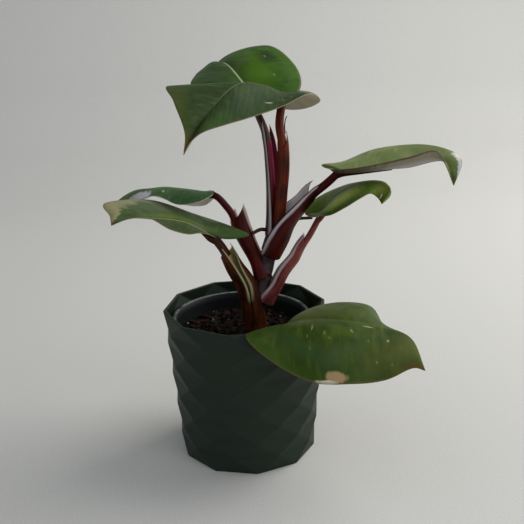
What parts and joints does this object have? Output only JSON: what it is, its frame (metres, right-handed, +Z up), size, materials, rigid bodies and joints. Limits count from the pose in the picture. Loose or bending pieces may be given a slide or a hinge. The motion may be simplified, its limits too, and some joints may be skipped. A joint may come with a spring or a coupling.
{
  "type": "potted philodendron",
  "caption": "Young philodendron with pointed variegated leaves on reddish sheathed stalks, its inner pot standing in a dark green faceted outer pot.",
  "frame": {"origin": "centre of the outer pot's flat underside, on the pot's own axis", "axes": "+Z up along the pot's axis; the side seen in the picture faces -Y, and +X points to the right of that view"},
  "size_m": [0.2554, 0.2556, 0.3011],
  "materials": {
    "outer_pot_plastic": "matt, very dark green",
    "inner_pot_plastic": "thin near-black nursery plastic, scuffed grey at the rim",
    "potting_mix": "loose dark bark and peat mix, a little white perlite",
    "stem": "grey to purple green stem with ringed leaf scars, slightly waxy",
    "petiole": "dark red brown, satin, with paler sheath edges",
    "leaf_blade": "leathery green leaf with cream and yellow green variegation, soft sheen"
  },
  "bodies": {
    "root": {"outer_pot": "outer_pot_plastic", "inner_pot": "inner_pot_plastic", "potting_mix": "potting_mix", "main_stem": "stem", "petiole_lowest": "petiole", "petiole_left_lower": "petiole", "petiole_right_lower": "petiole", "petiole_left_upper": "petiole", "petiole_right_upper": "petiole", "petiole_crown_back": "petiole", "petiole_crown_front": "petiole", "blade_lowest": "leaf_blade", "blade_left_lower": "leaf_blade", "blade_right_lower": "leaf_blade", "blade_left_upper": "leaf_blade", "blade_right_upper": "leaf_blade", "blade_crown_back": "leaf_blade", "blade_crown_front": "leaf_blade"}
  },
  "joints": []
}
